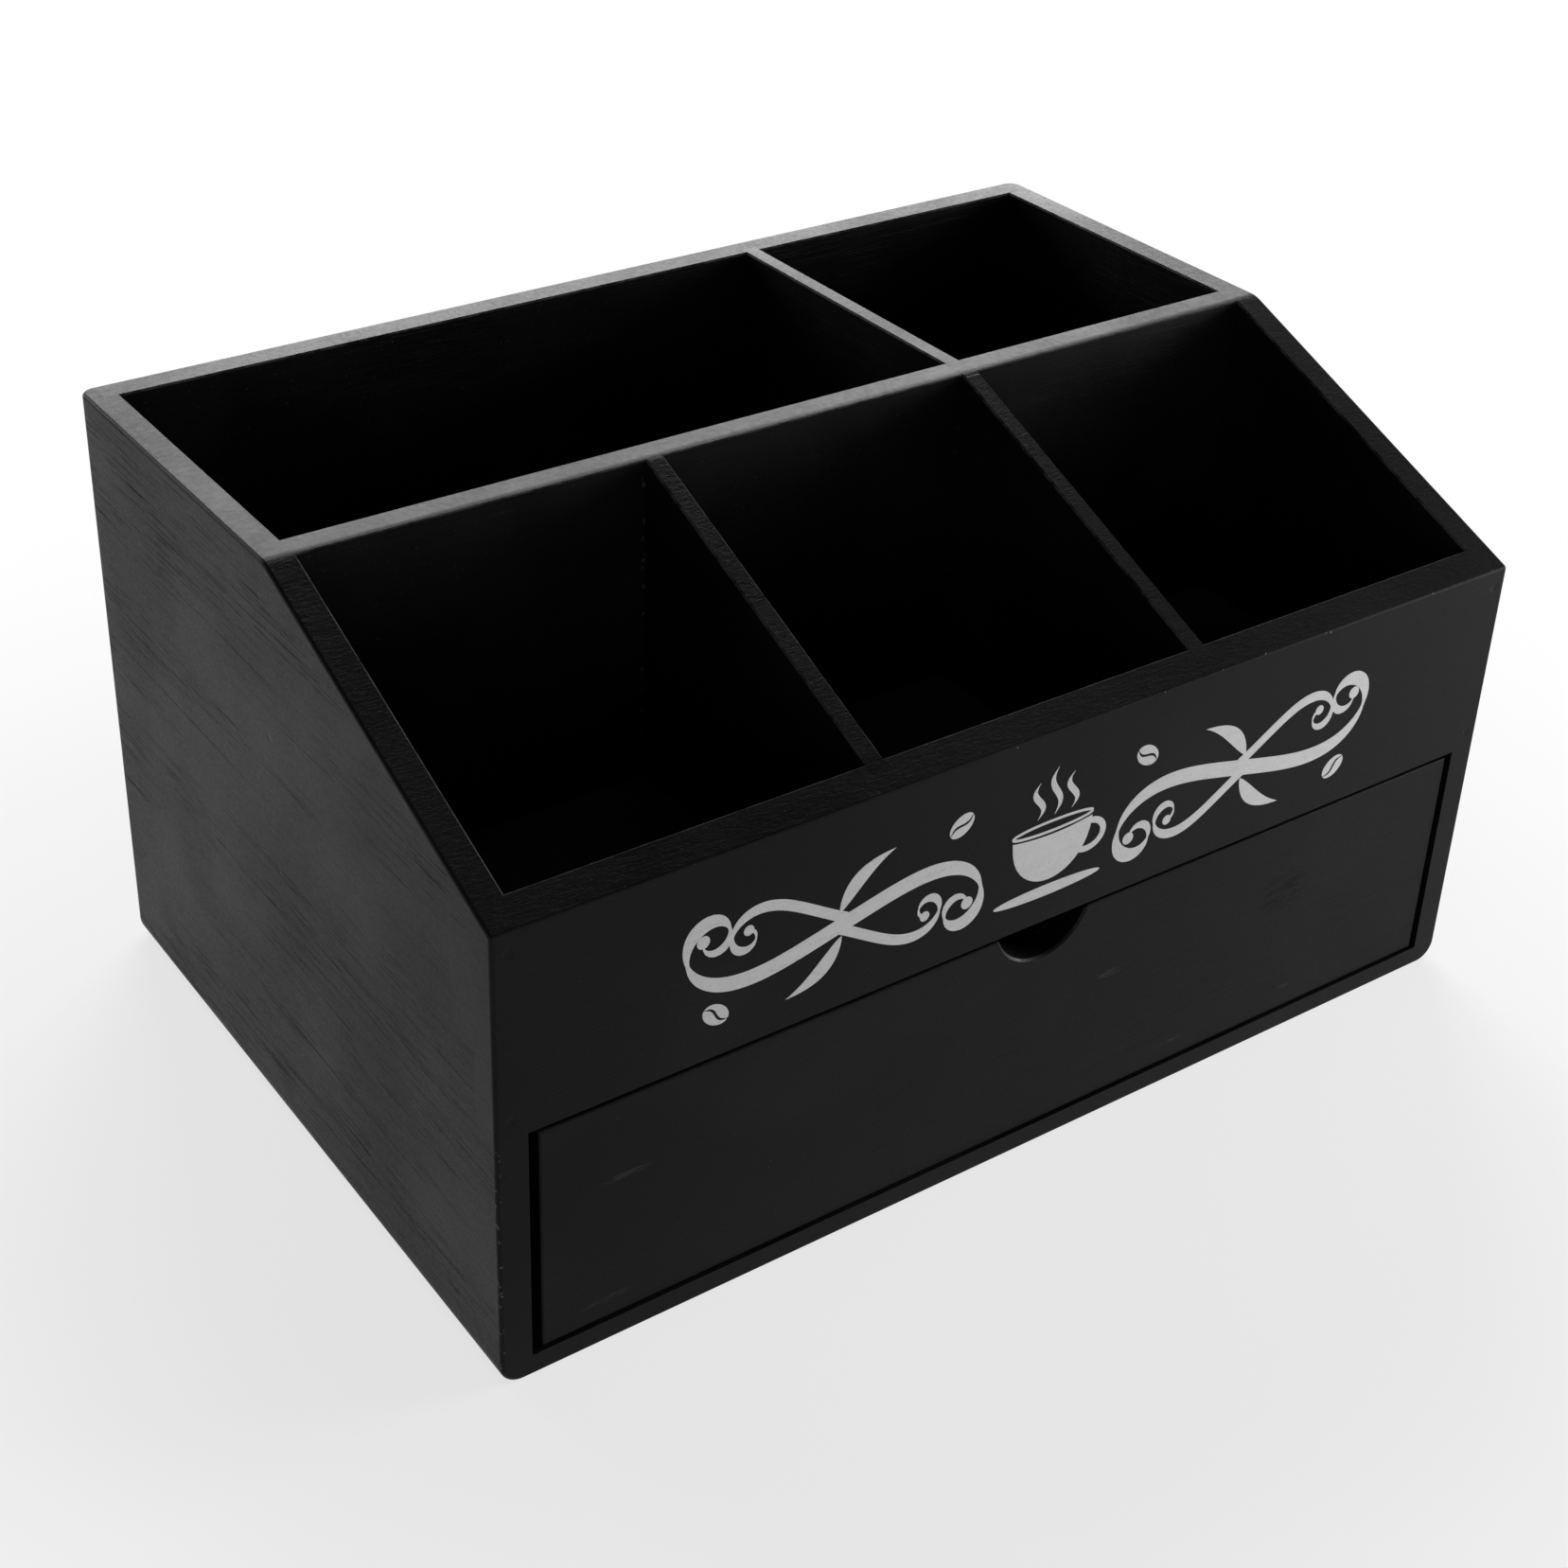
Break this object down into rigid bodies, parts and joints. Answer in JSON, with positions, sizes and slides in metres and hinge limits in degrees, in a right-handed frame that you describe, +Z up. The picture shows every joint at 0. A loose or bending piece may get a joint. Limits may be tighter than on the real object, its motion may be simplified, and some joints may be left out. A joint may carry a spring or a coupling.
{
  "type": "coffee station organizer",
  "caption": "Black painted wooden countertop organizer with open compartments behind a sloping front and a shallow drawer with a finger notch below.",
  "frame": {"origin": "centre of the box's footprint, on the surface that it stands on", "axes": "+X to the right as seen from the front, along the longest side; +Y from the front to the back; +Z up"},
  "size_m": [0.32, 0.2182, 0.1755],
  "materials": {
    "painted_board": "thin semi-gloss black paint over straight-grained softwood boards, grain showing through, edges eased and a little worn",
    "painted_thin_board": "thin semi-gloss black paint over thin softwood boards",
    "brad_steel": "bright drawn wire",
    "white_paint": "flat white stencilled paint film on the front board"
  },
  "bodies": {
    "carcass": {"left_side": "painted_board", "right_side": "painted_board", "back_panel": "painted_board", "front_fascia": "painted_board", "cross_divider": "painted_board", "rear_divider": "painted_thin_board", "front_divider_1": "painted_thin_board", "front_divider_2": "painted_thin_board", "compartment_floor": "painted_thin_board", "base_panel": "painted_board", "back_brads": "brad_steel", "base_brads": "brad_steel", "cross_brads": "brad_steel", "fascia_brads": "brad_steel"},
    "drawer": {"drawer_front": "painted_board", "drawer_left_side": "painted_thin_board", "drawer_right_side": "painted_thin_board", "drawer_back": "painted_thin_board", "drawer_bottom": "painted_thin_board", "drawer_front_brads": "brad_steel", "drawer_back_brads": "brad_steel", "drawer_bottom_brads": "brad_steel"}
  },
  "joints": [
    {"name": "drawer_slide", "type": "slide", "parent": "carcass", "child": "drawer", "axis": [0, -1, 0], "range_m": [0, 0.185]}
  ]
}
